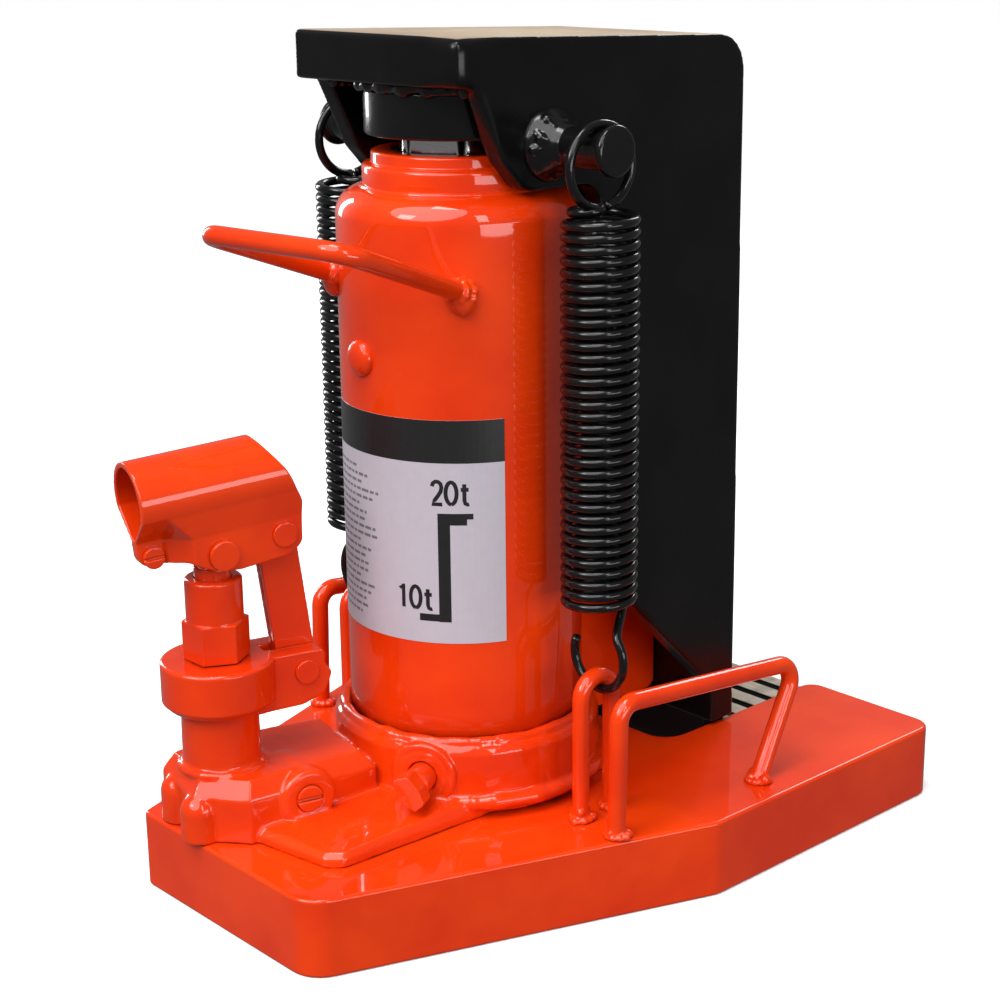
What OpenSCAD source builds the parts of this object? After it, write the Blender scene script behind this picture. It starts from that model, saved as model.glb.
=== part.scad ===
// Hydraulic toe jack: a bottle jack on a forked base plate, with a sprung lifting carriage.
// Millimetres. Origin: on the ground under the ram axis. -Y is the pump side, +Y the toe side.

/* [Base] */
// Thickness of the base plate
base_t = 35.2; // [30:0.1:42]
// Half width of the base plate across its two legs
base_half_w = 123.7; // [118:0.1:135]
// Half width of the front edge of the base plate
base_front_half_w = 59.2; // [55:0.1:70]
// Front edge of the base plate, in front of the ram axis
base_front = 139.3; // [136:0.1:150]
// Rear end of the legs, behind the ram axis
base_rear = 192.3; // [185:0.1:205]
// Half width of the slot between the legs
slot_half_w = 47.4; // [46.5:0.1:52]

/* [Bottle jack] */
// Outer radius of the oil tank
tank_r = 53; // [51:0.1:53]
// Height of the flat shoulder on top of the tank
tank_top = 303.4; // [300:0.1:303.4]
// Radius of the ram
ram_r = 25; // [20:0.5:26]
// Bore radius of the main cylinder
bore_r = 30; // [28:0.5:31]
// Stroke of the ram
stroke = 140; // [80:1:140]

/* [Carriage] */
// Height of the head plate's front edge with the ram down
closed_h = 368; // [366:0.5:380]
// Half width of the head plate, over the side plates
carriage_half_w = 51.7; // [50:0.1:55]
// Thickness of each side plate
side_t = 9.5; // [8:0.1:9.7]
// Rear face of the carriage
carriage_rear = 127; // [125:0.5:130]
// Top of the toe with the ram down
toe_top = 30; // [28:0.5:32]
// Rear end of the toe
toe_rear = 195; // [180:1:200]

/* [Springs] */
// Distance of each return spring from the ram axis
spring_x = 80.35; // [78:0.05:84]
// Outer diameter of a return spring
spring_d = 33; // [30:0.5:34]
// Wire diameter of a return spring
wire_d = 4; // [3.4:0.1:4.2]
// Number of coils in a return spring
coils = 34; // [20:1:36]

/* [Pump] */
// Place of the pump axis across the jack
pump_x = -27.5; // [-29:0.5:-26]
// Place of the pump axis in front of the ram axis
pump_y = -117; // [-119:0.5:-116]
// Radius of the pump piston
piston_r = 8; // [6:0.5:9]
// Outer radius of the handle socket's round part
socket_r = 17; // [15:0.1:17.5]

/* [Hidden] */
$fn = 64;

paint = [0.90, 0.22, 0.05];
black = [0.08, 0.08, 0.09];
steel = [0.72, 0.73, 0.75];
copper = [0.72, 0.42, 0.25];
label_grey = [0.75, 0.74, 0.80];

fit = 0.05;            // radial clearance of a running fit
inner_face = carriage_half_w - side_t;
back_t = 15.5;         // thickness of the carriage's back plate
back_front = carriage_rear - back_t;
head_t = 20.5;         // thickness of the head plate
head_front = -45.7;
head_slope = 2.2;      // fall of the head plate towards the rear, in degrees
slot_front = 84;       // front end of the slot in the base plate
wire_r = wire_d / 2;
coil_r = spring_d / 2 - wire_r;
post_y = 5;
post_z = 323;
post_neck_r = 8;
loop_r = 16.6;         // mean radius of the spring's upper loop
loop_z = post_z + post_neck_r + wire_r - loop_r + 0.1;
coil_top = loop_z - loop_r;
coil_bottom = 132;
rod_r = 4.1;           // bent rods of the carrying handles
eye_rod_r = 3.8;
eye_bend_r = 9.2;
eye_top = 99.8;        // centre of the eye's top bar
hook_r = 14.5;         // mean radius of the spring's lower hook
hook_z = eye_top - eye_rod_r - wire_r - 0.3 + hook_r;

collar_r = 60.5;       // collar of the casting round the tank's foot
collar_top = 68.5;
tank_foot = 62;
tank_wall = 3;
filler_r = 4;
filler_z = 234.6;
cylinder_r = 35;
cylinder_foot = 50;
nut_r = 41.2;
nut_top = 313.2;
nut_neck_r = 37.2;
nut_neck_top = 318.4;
cap_r = 39.8;
cap_bottom = 325;

// The pump's own frame stands on the pump axis, with +Y towards the ram and +X to the right.
pump_turn = atan2(-pump_x, -pump_y);
neck_r = 16.8;         // pump neck of the casting
neck_top = 89.6;
spigot_r = 11.5;       // the swivel ring turns on it, held down by the gland nut
pump_sleeve_r = 10;
ring_r = 24.5;
ring_bottom = 90;
ring_top = 111;
lug_half = 13;         // half width over the clevis cheeks of the swivel ring
lug_slot = 3.9;        // half width of the slot between them
low_pin = [35.5, 101.5];    // link pins and piston pin, in y and z of the pump's frame
high_pin = [27.5, 165];
drive_pin = [0, 160.5];
pin_r = 4;
sheet = 2.5;           // thickness of the socket's sheet steel
socket_tilt = 4.2;     // the socket leans down at its mouth by this angle
socket_z = 187.3;      // the level socket's centre line
socket_front = -33;
socket_rear = 40;
ear_half = 14;         // half width over the socket's ears
pinch_half = sheet + 0.3;
ear_root = 170;        // height where the slanting walls meet the ears
screw_pin = [-26.5, 162.8];

pad_top = 41;
block_top = 63;
valve_angle = -60;     // direction of the release valve round the ram axis
valve_z = 54.5;
plug_y = 27;           // relief plug, in the pump's frame
plug_z = 51;
plug_face = 31;
plug_r = 6;
check_r = 4;           // pockets of the check valves, in the pump's frame
checks = [[-9, 12], [9, 12]];
humps = [[-11.5, -16], [12, -16]];  // bosses below the pump, in the pump's frame

// ---------- helpers ----------
function unit(v) = v / norm(v);

// Points of the arc that rounds corner b of the path a-b-c with radius r, in 2-D or 3-D.
function bend(a, b, c, r, n = 6) =
    let (u = unit(a - b),
        v = unit(c - b),
        half = acos(u * v) / 2,
        centre = b + unit(u + v) * r / sin(half),
        s = b + u * r / tan(half) - centre,
        e = b + v * r / tan(half) - centre,
        turn = 180 - 2 * half)
    [for (i = [0 : n]) centre + (sin(turn * (1 - i / n)) * s + sin(turn * i / n) * e) / sin(turn)];

// A closed outline with corner i rounded by radii[i].
function rounded(p, radii) =
    [for (i = [0 : len(p) - 1])
        each radii[i] > 0
            ? bend(p[(i + len(p) - 1) % len(p)], p[i], p[(i + 1) % len(p)], radii[i])
            : [p[i]]];

// An open path whose inner corners are rounded with radius r.
function rounded_path(p, r) =
    [p[0], each [for (i = [1 : len(p) - 2]) each bend(p[i - 1], p[i], p[i + 1], r, 8)], p[len(p) - 1]];

// Rings of [centre, first side, second side] along a path whose bends lie about square to across.
function rod_rings(path, across) =
    [for (i = [0 : len(path) - 1])
        let (t = unit(path[min(i + 1, len(path) - 1)] - path[max(i - 1, 0)]),
            side = unit(cross(t, across)))
        [path[i], cross(side, t), side]];

// A round bar or wire of radius r, with n sides, along a list of rings.
module swept(rings, r, n) {
    last = len(rings) - 1;
    points = [for (g = rings) for (k = [0 : n - 1])
        g[0] + r * (cos(k * 360 / n) * g[1] + sin(k * 360 / n) * g[2])];
    walls = [for (i = [0 : last - 1]) for (k = [0 : n - 1])
        let (a = i * n + k, b = i * n + (k + 1) % n)
        each [[a, a + n, b + n], [a, b + n, b]]];
    start_cap = [for (k = [0 : n - 1]) k];
    end_cap = [for (k = [n - 1 : -1 : 0]) last * n + k];
    polyhedron(points, [start_cap, each walls, end_cap]);
}

// A cylinder from point a to point b.
module between(a, b, r) {
    d = b - a;
    translate(a)
        rotate([0, acos(d[2] / norm(d)), atan2(d[1], d[0])])
            cylinder(r = r, h = norm(d));
}

// A prism of the outline (y, z) between two values of x.
module across(x0, x1, outline) {
    translate([x0, 0, 0])
        rotate([90, 0, 90])
            linear_extrude(x1 - x0) polygon(outline);
}

// A cylinder along X, from x0 to x1, centred on (y, z).
module x_rod(x0, x1, at, r) {
    translate([x0, at[0], at[1]]) rotate([0, 90, 0]) cylinder(r = r, h = x1 - x0);
}

module tube(r_out, r_in, z0, z1) {
    translate([0, 0, z0])
        difference() {
            cylinder(r = r_out, h = z1 - z0);
            translate([0, 0, -1]) cylinder(r = r_in, h = z1 - z0 + 2);
        }
}

// A ring with a round-cornered section, such as a seal.
module seal_ring(r_out, r_in, z0, z1) {
    rotate_extrude() translate([r_in, z0]) square([r_out - r_in, z1 - z0]);
}

module at_pump() {
    translate([pump_x, pump_y, 0]) rotate([0, 0, -pump_turn]) children();
}

// Tilts children about the piston pin, as the socket leans.
module tilted() {
    translate([0, drive_pin[0], drive_pin[1]]) rotate([socket_tilt, 0, 0])
        translate([0, -drive_pin[0], -drive_pin[1]]) children();
}

module at_valve() {
    rotate([0, 0, valve_angle]) translate([0, 0, valve_z]) rotate([0, 90, 0]) children();
}

module at_filler() {
    rotate([0, 0, -94]) translate([0, 0, filler_z]) rotate([0, 90, 0]) children();
}

module right_and_left(side) {
    if (side > 0) children();
    if (side < 0) mirror([1, 0, 0]) children();
}

// ---------- base ----------
base_outline = rounded(
    [[-base_front_half_w, -base_front], [base_front_half_w, -base_front],
        [base_half_w, 36], [base_half_w, base_rear], [slot_half_w, base_rear],
        [slot_half_w, slot_front], [-slot_half_w, slot_front], [-slot_half_w, base_rear],
        [-base_half_w, base_rear], [-base_half_w, 36]],
    [5, 16, 14, 10, 8, 12, 12, 8, 10, 14]);

module base_plate() {
    color(paint) linear_extrude(base_t) polygon(base_outline);
}

module side_handle(side) {
    x = 102.5;
    foot_splay = 5;
    front_lift = 0.15;
    rear_lift = 2.35;
    path = rounded_path([[x, -6.5, base_t + front_lift], [x, -5, 95.5], [x, 112, 83.5],
        [x + foot_splay, 80, base_t + rear_lift]], 8);
    color(paint) right_and_left(side) swept(rod_rings(path, [1, 0, 0]), rod_r, 20);
}

module spring_eye(side) {
    centre_z = eye_top - eye_bend_r;
    color(paint) right_and_left(side)
        translate([spring_x, post_y - 1.5, 0]) {
            for (s = [-1, 1]) translate([0, s * eye_bend_r, base_t])
                cylinder(r = eye_rod_r, h = centre_z - base_t);
            translate([0, 0, centre_z]) rotate([90, 0, 90])
                rotate_extrude(angle = 180) translate([eye_bend_r, 0]) circle(eye_rod_r);
        }
}

// ---------- bottle jack ----------
module valve_body() {
    pad = rounded([[-52, -112], [-43, -128], [40, -114.6], [45.5, -109], [50.5, 10], [50.5, 44],
        [25, 62], [-25, 62], [-50.5, 44], [-50.5, 10]],
        [5, 4, 4, 4, 20, 20, 12, 12, 20, 20]);
    color(paint)
        difference() {
            union() {
                translate([0, 0, base_t]) linear_extrude(pad_top - base_t - 2) polygon(pad);
                hull() {
                    translate([0, 0, pad_top - 2.2]) linear_extrude(0.2) polygon(pad);
                    translate([0, -1, pad_top]) linear_extrude(0.5) scale(0.97) polygon(pad);
                    translate([0, 0, pad_top]) cylinder(r = 48, h = 4.6, $fn = 32);
                }
                cylinder_collar();
                at_valve() translate([0, 0, 40]) cylinder(r = 12.5, h = 20);
                at_valve() translate([0, 0, 60]) cylinder(r1 = 12.5, r2 = 10.5, h = 2);
                at_pump() {
                    pump_block();
                    x_rod(4, plug_face - 1.5, [plug_y, plug_z], 12.5);
                    translate([plug_face - 1.5, plug_y, plug_z]) rotate([0, 90, 0])
                        cylinder(r1 = 12.5, r2 = 11, h = 1.5);
                    translate([0, 0, pad_top]) cylinder(r = neck_r, h = neck_top - pad_top);
                    translate([0, 0, neck_top - 1]) cylinder(r = spigot_r, h = ring_top - neck_top + 1.2);
                    for (p = humps) translate([p[0], p[1], base_t]) {
                        cylinder(r = 8.6, h = 13);
                        translate([0, 0, 13]) sphere(8.6);
                    }
                }
            }
            translate([0, 0, cylinder_foot]) cylinder(r = cylinder_r, h = 60);
            translate([0, 0, 46]) cylinder(r = 15, h = 10);
            tank_seat();
            at_pump() translate([0, 0, 66]) cylinder(r = pump_sleeve_r, h = 80);
            passages();
        }
}

module cylinder_collar() {
    rotate_extrude()
        polygon([[0, base_t + 2], [collar_r, base_t + 2], [collar_r, collar_top - 4],
            [collar_r - 1.3, collar_top - 1.3], [collar_r - 4, collar_top], [0, collar_top]]);
}

// The raised block under the pump, with chamfered corners and drafted sides.
module pump_block() {
    foot = [[-22, -20], [14, -20], [30, 0], [24, 62], [-24, 62], [-30, 0]];
    hull() {
        translate([0, 0, base_t]) linear_extrude(block_top - 8 - base_t) polygon(foot);
        translate([0, 2, block_top - 0.4]) linear_extrude(0.4) scale(0.86) polygon(foot);
    }
}

module tank_seat() {
    tube(tank_r + 0.05, tank_r - tank_wall - 2, tank_foot - 1, collar_top + 1);
}

// Drilled ways inside the casting: pump to cylinder, relief valve, release valve and the
// pockets of the two check valves, which open on the underside.
module passages() {
    drill_r = 2.5;
    cross_r = 2.2;
    at_pump() {
        between([0, 0, 67], [0, 0, 40.5], drill_r);
        between([0, 0, 49], [0, norm([pump_x, pump_y]), 49], cross_r);
        x_rod(9, plug_face + 2, [plug_y, plug_z], plug_r);
        x_rod(0, 10, [plug_y, plug_z], drill_r);
        for (p = checks) {
            translate([p[0], p[1], base_t - 1]) cylinder(r = check_r, h = 11);
            between([p[0], p[1], 43.3], [0, 0, 43.3], 1.9);
        }
    }
    at_valve() {
        translate([0, 0, 42]) cylinder(r = 6.5, h = 30);
        between([0, 0, 44.5], [11, 0, 44.5], drill_r);
        between([8.6, 0, 44.5], [7.4, 0, 4], cross_r);
    }
}

module tank() {
    inner = tank_r - tank_wall;
    shoulder = 10;
    color(paint)
        difference() {
            rotate_extrude()
                polygon([[inner, tank_foot], [tank_r, tank_foot], [tank_r, tank_top - shoulder - 1],
                    each [for (a = [0 : 9 : 90])
                        [tank_r - shoulder * (1 - cos(a)), tank_top - shoulder * (1 - sin(a))]],
                    [cylinder_r + fit, tank_top], [cylinder_r + fit, tank_top - 4],
                    [inner - 8, tank_top - 4], [inner, tank_top - 12]]);
            at_filler() cylinder(r = filler_r, h = 80);
        }
}

module tank_gasket() {
    color(black) seal_ring(tank_r, tank_r - 5, tank_foot - 1, tank_foot);
}

module main_cylinder() {
    color(steel) tube(cylinder_r, bore_r, cylinder_foot + 1, tank_top + 6);
}

module cylinder_gasket() {
    color(copper) seal_ring(cylinder_r, bore_r, cylinder_foot, cylinder_foot + 1);
}

module top_nut() {
    color(paint)
        rotate_extrude()
            polygon([[cylinder_r + 0.02, tank_top], [nut_r, tank_top], [nut_r, nut_top - 2],
                [nut_r - 2, nut_top], [nut_neck_r, nut_top], [nut_neck_r, nut_neck_top - 1.5],
                [nut_neck_r - 1.5, nut_neck_top], [ram_r + 3, nut_neck_top],
                [ram_r + 3, nut_neck_top - 4], [ram_r + fit, nut_neck_top - 4],
                [ram_r + fit, tank_top + 6], [cylinder_r + 0.02, tank_top + 6]]);
}

module rod_wiper() {
    color(black) seal_ring(ram_r + 3, ram_r + fit, nut_neck_top - 4, nut_neck_top - 0.4);
}

module ram() {
    color(steel) translate([0, 0, 66]) cylinder(r = ram_r, h = cap_bottom + 8 - 66);
}

module ram_piston() {
    color(steel) translate([0, 0, 54]) {
        cylinder(r = bore_r - fit, h = 4);
        cylinder(r = bore_r - 5, h = 8);
        translate([0, 0, 8]) cylinder(r = bore_r - fit, h = 4);
    }
}

module ram_seal() {
    color(black) seal_ring(bore_r - fit, bore_r - 5, 58, 62);
}

module guide_block() {
    half_w = 14;
    outline = rounded([[44, 46], [back_front - 0.4, 46], [back_front - 0.4, 100], [44, 118]],
        [0, 5, 26, 0]);
    color(paint)
        difference() {
            across(-half_w, half_w, outline);
            translate([0, 0, collar_top - 20]) cylinder(r = collar_r, h = 20);
            cylinder(r = tank_r, h = 200);
            translate([-60, -10, 0]) cube([120, 73, pad_top + 20]);
        }
}

module filler_plug() {
    head_r = 7.6;
    color(paint) {
        at_filler() translate([0, 0, tank_r - tank_wall - 1]) cylinder(r = filler_r, h = tank_wall + 2);
        difference() {
            at_filler() {
                translate([0, 0, tank_r - 1]) cylinder(r = head_r, h = 2.4);
                translate([0, 0, tank_r + 1.4]) cylinder(r1 = head_r, r2 = head_r - 3, h = 2);
            }
            cylinder(r = tank_r, h = tank_top);
        }
    }
}

module name_label() {
    label_t = 0.3;
    color(label_grey)
        rotate([0, 0, -124])
            rotate_extrude(angle = 102) translate([tank_r, 113.5]) square([label_t, 98.5]);
}

module carry_handle() {
    foot_x = 36.4;
    foot_y = -37.7;
    foot_z = 265;
    half_w = 40;
    front_y = -111;
    front_z = 292;
    turn = 7;
    path = rounded_path([[-foot_x, foot_y, foot_z], [-half_w, front_y, front_z],
        [half_w, front_y, front_z], [foot_x, foot_y, foot_z]], 11);
    color(paint)
        difference() {
            rotate([0, 0, turn])
                swept(rod_rings(path, [0, front_z - foot_z, foot_y - front_y]), rod_r, 20);
            translate([0, 0, 200]) cylinder(r = tank_r, h = 100);
        }
}

// ---------- carriage ----------
module ram_cap() {
    lip = 2;
    color(black)
        difference() {
            union() {
                translate([0, 0, cap_bottom + lip])
                    cylinder(r = cap_r, h = head_under(cap_r) - 0.02 - cap_bottom - lip);
                translate([0, 0, cap_bottom]) cylinder(r1 = cap_r - lip, r2 = cap_r, h = lip);
            }
            translate([0, 0, cap_bottom - 1]) cylinder(r = ram_r, h = 9.01);
        }
}

head_rear_drop = (carriage_rear - 2.5 - head_front) * tan(head_slope);
head_outline = rounded(
    [[head_front, closed_h - head_t], [head_front, closed_h],
        [carriage_rear - 2.5, closed_h - head_rear_drop],
        [carriage_rear - 2.5, closed_h - head_t - head_rear_drop]],
    [2, 2.5, 16, 0]);

// Height of the head plate's lower face at a given y.
function head_under(y) = closed_h - head_t - (y - head_front) * tan(head_slope);

module head_plate() {
    color(black) across(-carriage_half_w, carriage_half_w, head_outline);
}

module side_plate(side) {
    lobe_z = tank_top + 1.4;
    outline = rounded(
        [[-35, head_under(-35)], [-20.5, 317], [-9, lobe_z], [34, lobe_z], [34, 133.5],
            [101.7, 65.6], [back_front, 54.4], [back_front, head_under(back_front)]],
        [0, 9, 12, 9, 0, 6, 0, 0]);
    color(black) right_and_left(side) across(inner_face, carriage_half_w, outline);
}

module back_plate() {
    foot_z = base_t + 2;
    color(black)
        across(-carriage_half_w, carriage_half_w,
            [[back_front, foot_z], [carriage_rear, foot_z],
                [carriage_rear - 2.5, head_under(carriage_rear - 2.5)],
                [back_front, head_under(back_front)]]);
}

module toe() {
    half_w = 46;
    bottom = 4;
    front = back_front + 0.5;
    groove_y = [137.5 : 14.5 : 182];
    groove_w = 4.6;
    outline = rounded(
        [[front, bottom], [toe_rear, bottom], [toe_rear, toe_top], [carriage_rear, toe_top],
            [carriage_rear, base_t + 2], [front, base_t + 2]],
        [2, 3, 2.5, 3, 0, 0]);
    color(black)
        difference() {
            across(-half_w, half_w, outline);
            for (y = groove_y) translate([-half_w - 1, y, toe_top - 1.6])
                cube([2 * half_w + 2, groove_w, 3]);
        }
}

module spring_post(side) {
    cap_x = 86.6;
    color(black) right_and_left(side) {
        x_rod(carriage_half_w, cap_x + 1, [post_y, post_z], post_neck_r);
        translate([carriage_half_w, post_y, post_z]) rotate([0, 90, 0])
            cylinder(r1 = 14, r2 = post_neck_r, h = 9);
        x_rod(cap_x, cap_x + 2.6, [post_y, post_z], 10.5);
        translate([cap_x + 2.6, post_y, post_z]) rotate([0, 90, 0])
            cylinder(r1 = 10.5, r2 = 9.3, h = 1);
    }
}

// The spring's wire is swept along rings of [centre, first side, second side]: the upper loop
// round the post, then the coil, then the lower hook through the eye.
coil_steps = 8;
coil_rings = (coils + 0.75) * coil_steps;

function loop_ring(a) =
    [[0, loop_r * cos(a), loop_z + loop_r * sin(a)], [0, cos(a), sin(a)], [-1, 0, 0]];

// The coil's radius grows from nothing over its first half turn, and shrinks over its last.
function coil_ring(i) =
    let (a = i * 360 / coil_steps,
        left = coil_rings - i,
        r = coil_r * min(1, 2 * i / coil_steps, 1.8 * left / coil_steps),
        tail = max(0, 1 - left / coil_steps),
        z = coil_top - (coil_top - coil_bottom) * i / coil_rings)
    [[r * cos(a), r * sin(a), z * (1 - tail) + (hook_z + hook_r) * tail],
        [0, 0, -1], -[cos(a), sin(a), 0]];

function hook_ring(a) =
    [[hook_r * cos(a), 0, hook_z + hook_r * sin(a)], [-cos(a), 0, -sin(a)], [0, 1, 0]];

module spring(side) {
    rings = [each [for (a = [-40 : 15.5 : 265]) loop_ring(a)],
        each [for (i = [0 : coil_rings]) coil_ring(i)],
        each [for (a = [75 : -15 : -210]) hook_ring(a)]];
    color(black) right_and_left(side) translate([spring_x, post_y, 0]) swept(rings, wire_r, 5);
}

// ---------- pump ----------
module pump_cylinder() {
    color(steel) at_pump() tube(pump_sleeve_r, piston_r + fit, 66, ring_top);
}

module pump_seal() {
    color(black) at_pump() seal_ring(pump_sleeve_r, piston_r + fit, ring_top, ring_top + 3.5);
}

module gland_nut() {
    hex_top = ring_top + 17.5;
    color(paint)
        at_pump()
            difference() {
                union() {
                    translate([0, 0, ring_top + 0.4]) rotate([0, 0, 15])
                        cylinder(r = 14.4, h = hex_top - ring_top - 0.4, $fn = 6);
                    translate([0, 0, hex_top - 1]) cylinder(r = 12.3, h = 19);
                    translate([0, 0, hex_top + 18]) cylinder(r1 = 12.3, r2 = 11.3, h = 1);
                }
                translate([0, 0, ring_top - 1]) cylinder(r = pump_sleeve_r, h = 4.5);
                translate([0, 0, ring_top - 1]) cylinder(r = piston_r + fit, h = 50);
            }
}

module pump_piston() {
    color(steel)
        at_pump()
            difference() {
                union() {
                    translate([0, 0, 70]) cylinder(r = piston_r, h = 82);
                    x_rod(-5.5, 5.5, drive_pin, piston_r - 0.4);
                    translate([-5.5, -6, 150]) cube([11, 12, drive_pin[1] - 150]);
                }
                x_rod(-10, 10, drive_pin, pin_r);
            }
}

// The collar that turns round the pump neck, with a clevis for the link.
module swivel_ring() {
    lug_outline = rounded([[16, ring_bottom - 4], [34, 86.5], [44, 90], [47.6, 99], [43.6, 105],
        [47, ring_top - 0.6], [10, ring_top], [10, ring_bottom - 4]],
        [2, 6, 6, 3, 4, 3, 0, 0]);
    color(paint)
        at_pump()
            difference() {
                union() {
                    translate([0, 0, ring_bottom + 3]) cylinder(r = ring_r, h = ring_top - ring_bottom - 4);
                    translate([0, 0, ring_bottom]) cylinder(r1 = ring_r - 3, r2 = ring_r, h = 3);
                    translate([0, 0, ring_top - 1]) cylinder(r1 = ring_r, r2 = ring_r - 1, h = 1);
                    across(-lug_half, lug_half, lug_outline);
                }
                translate([0, 0, ring_bottom - 8]) cylinder(r = spigot_r + fit, h = 40);
                translate([0, 0, ring_bottom - 12]) cylinder(r = neck_r + 1, h = 12);
                translate([-lug_slot, 20, ring_bottom - 8]) cube([2 * lug_slot, 60, 40]);
                x_rod(-20, 20, low_pin, pin_r);
            }
}

module headed_pin(at, half) {
    head_t = 1.6;
    x_rod(-half, half, at, pin_r);
    x_rod(half, half + head_t, at, pin_r + 1.4);
    x_rod(-half - head_t, -half, at, pin_r + 1.4);
}

module lower_link_pin() {
    color(paint) at_pump() headed_pin(low_pin, lug_half);
}

module upper_link_pin() {
    color(paint) at_pump() headed_pin(high_pin, ear_half);
}

// The heads stand a little off the ears, which slide over the pin as the socket swings.
module piston_pin() {
    head_t = 2.2;
    clear = 0.3;
    color(paint) at_pump() {
        x_rod(-ear_half - clear, ear_half + clear, drive_pin, pin_r);
        x_rod(ear_half + clear, ear_half + clear + head_t, drive_pin, pin_r + 2.4);
        x_rod(-ear_half - clear - head_t, -ear_half - clear, drive_pin, pin_r + 2.4);
    }
}

module clamp_screw() {
    head_r = 4.6;
    color(paint)
        at_pump() tilted()
            difference() {
                union() {
                    x_rod(-pinch_half - 5, pinch_half, screw_pin, 2.5);
                    x_rod(pinch_half, pinch_half + 2.4, screw_pin, head_r);
                    x_rod(-pinch_half - 4, -pinch_half, screw_pin, head_r);
                }
                translate([pinch_half + 1.4, screw_pin[0] - 6, screw_pin[1] - 0.6]) cube([3, 12, 1.2]);
            }
}

// Two flat bars from the ring's clevis to the socket's ears.
module link_plates() {
    half_w = 8.8;
    bar_t = 3.1;
    gap = 0.4;
    reach = norm(high_pin - low_pin);
    lean = atan2(low_pin[0] - high_pin[0], high_pin[1] - low_pin[1]);
    color(paint)
        at_pump()
            for (s = [-1, 1])
                translate([s * (gap + bar_t / 2), low_pin[0], low_pin[1]]) rotate([lean, 0, 0])
                    difference() {
                        union() {
                            translate([-bar_t / 2, -half_w, 0]) cube([bar_t, 2 * half_w, reach]);
                            for (z = [0, reach]) translate([0, 0, z]) rotate([0, 90, 0])
                                cylinder(r = half_w, h = bar_t, center = true);
                        }
                        for (z = [0, reach]) translate([0, 0, z]) rotate([0, 90, 0])
                            cylinder(r = pin_r + fit, h = bar_t + 2, center = true);
                    }
}

// Extrudes children, a section in x and z, along y.
module along_y(y0, y1) {
    translate([0, y1, 0]) rotate([90, 0, 0]) linear_extrude(y1 - y0) children();
}

// Section of one wall below the socket's round part: slanting in to the ear, or the ear itself.
module socket_wall(ear, slanted) {
    edge = -19;
    root = [for (r = [socket_r - sheet + 0.1, socket_r - 0.1]) [r * cos(edge), socket_z + r * sin(edge)]];
    polygon(slanted
        ? [root[0], root[1], [ear, ear_root], [ear - sheet, ear_root - 0.6]]
        : [[ear - sheet, ear_root + 1], [ear, ear_root], [ear, 146], [ear - sheet, 146]]);
}

// The sheet is pinched together at the front, and spreads into two ears behind.
module socket_sheet() {
    spread = [-22, -12];
    cut = 0.35 * 30;
    front = socket_front - 2;
    along_y(front, socket_rear)
        difference() {
            translate([0, socket_z]) circle(socket_r);
            translate([0, socket_z]) circle(socket_r - sheet);
            polygon([[0, socket_z], [30, socket_z - cut], [0, 100], [-30, socket_z - cut]]);
        }
    for (s = [0, 1]) mirror([s, 0, 0])
        for (slanted = [true, false]) {
            along_y(front, spread[0]) socket_wall(pinch_half, slanted);
            along_y(spread[1], socket_rear) socket_wall(ear_half, slanted);
            hull() {
                along_y(spread[0] - 0.1, spread[0]) socket_wall(pinch_half, slanted);
                along_y(spread[1], spread[1] + 0.1) socket_wall(ear_half, slanted);
            }
        }
}

module handle_socket() {
    top = socket_z + socket_r + 2;
    side = rounded([[socket_front, 158.4], [-14, 159.4], [-4, 154], [7, 152.2], [28, 153.4],
        [35.5, 157], [37.4, 176], [31.5, 191], [21, top], [socket_front, top]],
        [6, 5, 5, 6, 3, 5, 8, 14, 0, 0]);
    color(paint)
        at_pump() difference() {
            tilted() intersection() {
                socket_sheet();
                across(-20, 20, side);
            }
            x_rod(-20, 20, high_pin, pin_r);
            x_rod(-20, 20, drive_pin, pin_r + 1);
            tilted() x_rod(-20, 20, screw_pin, 2.5);
        }
}

// ---------- valves ----------
module release_valve() {
    stem_r = 6.4;
    shoulder = 72;
    wing = rounded([[-5.4, -6.7], [-7.7, 0], [-2, 5.2], [4.2, 7.5], [7.9, 3.3], [3.2, -5]],
        [1.5, 1.5, 3, 1.5, 1.5, 3]);
    color(paint)
        at_valve() {
            translate([0, 0, 50]) cylinder(r = stem_r, h = shoulder - 50);
            translate([0, 0, 47]) cylinder(r1 = 2, r2 = stem_r, h = 3);
            translate([0, 0, shoulder]) linear_extrude(9) polygon(wing);
        }
}

module release_ball() {
    color(steel) at_valve() translate([0, 0, 44.5]) sphere(2.4);
}

module relief_plug() {
    slot_w = 1.8;
    color(paint)
        at_pump()
            difference() {
                x_rod(22, plug_face + 1, [plug_y, plug_z], plug_r - fit);
                translate([plug_face - 0.6, plug_y - 7, plug_z - slot_w / 2]) cube([3, 14, slot_w]);
            }
}

// Four closed turns stand for the relief valve's small spring.
module relief_spring() {
    color(steel) at_pump() for (x = [13 : 2.5 : 20.5]) translate([x, plug_y, plug_z]) rotate([0, 90, 0])
        rotate_extrude() translate([4.2, 0]) circle(0.7);
}

module relief_ball() {
    color(steel) at_pump() translate([10.7, plug_y, plug_z]) sphere(3);
}

module check_plugs() {
    color(steel) at_pump() for (p = checks)
        translate([p[0], p[1], base_t + 0.2]) cylinder(r = check_r - fit, h = 3.5);
}

module check_balls() {
    color(steel) at_pump() for (p = checks)
        translate([p[0], p[1], base_t + 6.8]) sphere(2.9);
}

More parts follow.
